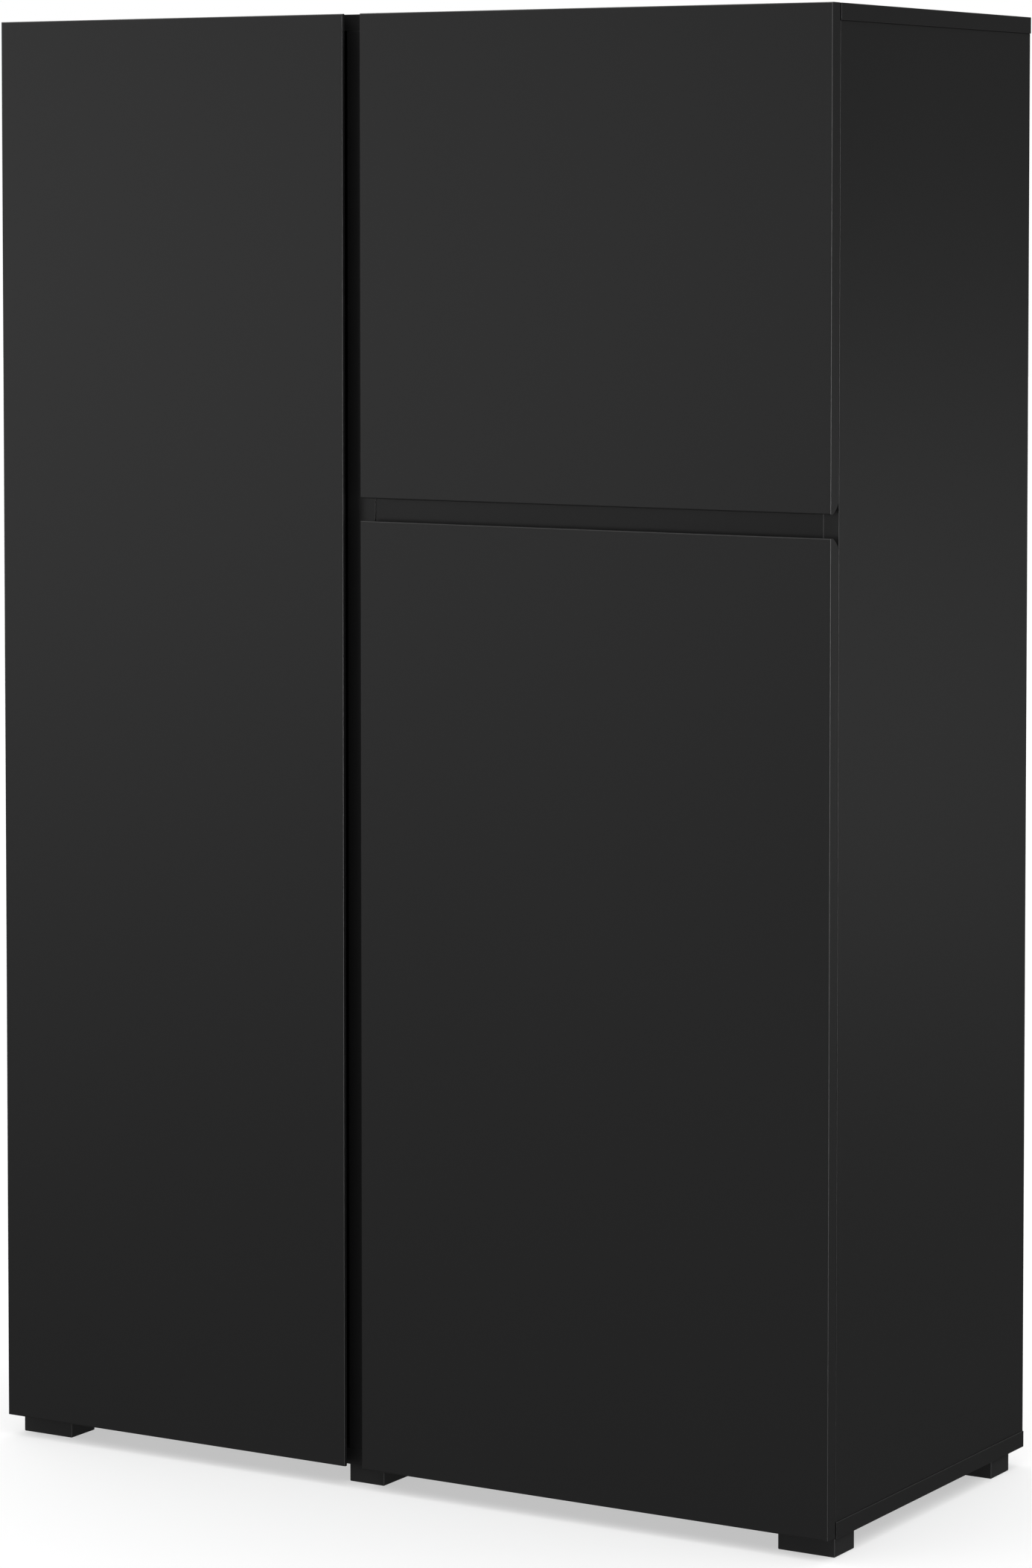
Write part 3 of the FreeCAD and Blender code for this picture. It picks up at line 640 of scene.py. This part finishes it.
powder = powder_coat()
finish_nodes(powder, "clothes_rod")
for node in ("rod_bracket_front", "rod_bracket_rear", "wall_bracket_left", "wall_bracket_right"):
    fit_piece(pressed_from(node, node + "_pressing", BRACKET_EDGE), powder, "carcass", "dark_metal", node)
rod_low, rod_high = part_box("clothes_rod")
for name, way in (("rod_plug_front", -1), ("rod_plug_rear", 1)):
    plug = rod_plug(way, rod_low, rod_high)
    plug.name = name
    fit_piece(plug, foot_plastic, "carcass", "foot_plastic")


# ------------------------------------------------------------------ door bumpers
# Soft dark polyurethane buttons stuck to the front edges of the case. Each is cast with a dome, where
# the door lands on it.
def soft_button():
    material, shader, place = new_material("bumper_rubber")
    bloom = place.noise(0.0015, 2.0)
    set_shader(shader, place, Base_Color=bloom.blend((0.05, 0.05, 0.05), (0.09, 0.09, 0.09)),
               Roughness=0.34 + (bloom - 0.5) * 0.15, Normal=bloom.bump(0.00001))
    return material


def domed_button(low, high):
    """One button on the front edge of the case, with its dome towards the door."""
    middle = (low + high) / 2
    height = high.y - low.y
    button = round_blank((high.z - low.z) / 2, height, middle, ALONG_Y, 40)
    bpy.ops.object.mode_set(mode="EDIT")
    bpy.ops.mesh.select_mode(type="FACE")
    pick(button, lambda centre, normal: normal.y < -0.9)
    bpy.ops.mesh.bevel(offset=height * 0.7, segments=5, affect="EDGES")
    bpy.ops.object.mode_set(mode="OBJECT")
    shade(button)
    return button


bumpers = joined([domed_button(low, high) for low, high in solids_of("door_bumpers")], "domed_door_bumpers")
fit_piece(bumpers, soft_button(), "carcass", "soft_rubber", "door_bumpers")


# ------------------------------------------------------------------ studio
# A plain pale floor that runs back into a pale room, with large soft lights. The floor glows a
# little, like a lit light table, and black boards don't mirror it.
def studio_floor():
    bpy.ops.object.select_all(action="DESELECT")
    bpy.ops.mesh.primitive_plane_add(size=60.0, location=(0, 0, 0))
    floor = bpy.context.object
    floor.name = "studio_floor"
    material, shader, place = new_material("studio_floor")
    set_shader(shader, place, Base_Color=(0.42, 0.42, 0.42, 1.0), Roughness=0.9,
               Emission_Color=(1.0, 1.0, 1.0, 1.0), Emission_Strength=0.52, Specular_IOR_Level=0.1)
    floor.data.materials.append(material)
    floor.visible_glossy = False


def studio_room():
    """A room that is white to the eye and lights the boards only dimly."""
    world = bpy.data.worlds.new("studio_room")
    bpy.context.scene.world = world
    world.use_nodes = True
    tree = world.node_tree
    background = tree.nodes["Background"]
    path = tree.nodes.new("ShaderNodeLightPath")
    mix = tree.nodes.new("ShaderNodeMix")
    mix.data_type = "RGBA"
    mix.inputs[6].default_value = (0.090, 0.090, 0.090, 1.0)
    mix.inputs[7].default_value = (1.0, 1.0, 1.0, 1.0)
    tree.links.new(path.outputs["Is Camera Ray"], mix.inputs["Factor"])
    tree.links.new(mix.outputs[2], background.inputs["Color"])


def softbox(name, place, target, width, height, power):
    """A soft rectangular lamp at a place, turned to its target."""
    light = bpy.data.lights.new(name, "AREA")
    light.shape = "RECTANGLE"
    light.size = width
    light.size_y = height
    light.energy = power
    lamp = bpy.data.objects.new(name, light)
    bpy.context.scene.collection.objects.link(lamp)
    lamp.location = place
    lamp.rotation_euler = (Vector(target) - Vector(place)).to_track_quat("-Z", "Y").to_euler()
    return lamp


studio_floor()
studio_room()
softbox("front_softbox", (-3.0, -4.6, 1.35), (0, 0, 1.0), 3.0, 2.2, 8.0)
softbox("low_front_softbox", (-3.0, -4.6, 0.9), (0, 0, 0.8), 3.0, 1.6, 9.6)
softbox("left_softbox", (-5.0, -2.5, 1.6), (0, 0, 1.0), 2.4, 2.4, 28.7)
softbox("right_softbox", (2.6, 2.4, 0.55), (0.47, 0, 0.55), 1.8, 1.0, 2.5)
# No higher than the top panel, and seen only as the bright line along each rounded edge.
edge_softbox = softbox("edge_softbox", (4.6, -2.9, 0.72), (0.3, 0, 0.72), 1.4, 1.4, 170.0)
edge_softbox.visible_diffuse = False
sky_light = bpy.data.lights.new("skylight", "SUN")
sky_light.energy = 4.3
sky_light.angle = math.radians(110)
skylight = bpy.data.objects.new("skylight", sky_light)
bpy.context.scene.collection.objects.link(skylight)


# ------------------------------------------------------------------ camera
# An eye at a standing person's chest height, well back to the right of the front, with the view slid
# down rather than tipped, so that the uprights stay nearly upright.
EYE = Vector((2.5638, -4.2423, 1.2523))
TURN = math.radians(31.073)
TILT = math.radians(2.987)
LENS = 113.64
LIFT = -0.2
camera_data = bpy.data.cameras.new("camera")
camera_data.sensor_width = 36.0
camera_data.lens = LENS
camera_data.shift_y = LIFT
camera = bpy.data.objects.new("camera", camera_data)
bpy.context.scene.collection.objects.link(camera)
camera.location = EYE
camera.rotation_euler = (math.pi / 2 - TILT, 0.0, TURN)
bpy.context.scene.camera = camera
bpy.context.scene.view_settings.view_transform = "Standard"
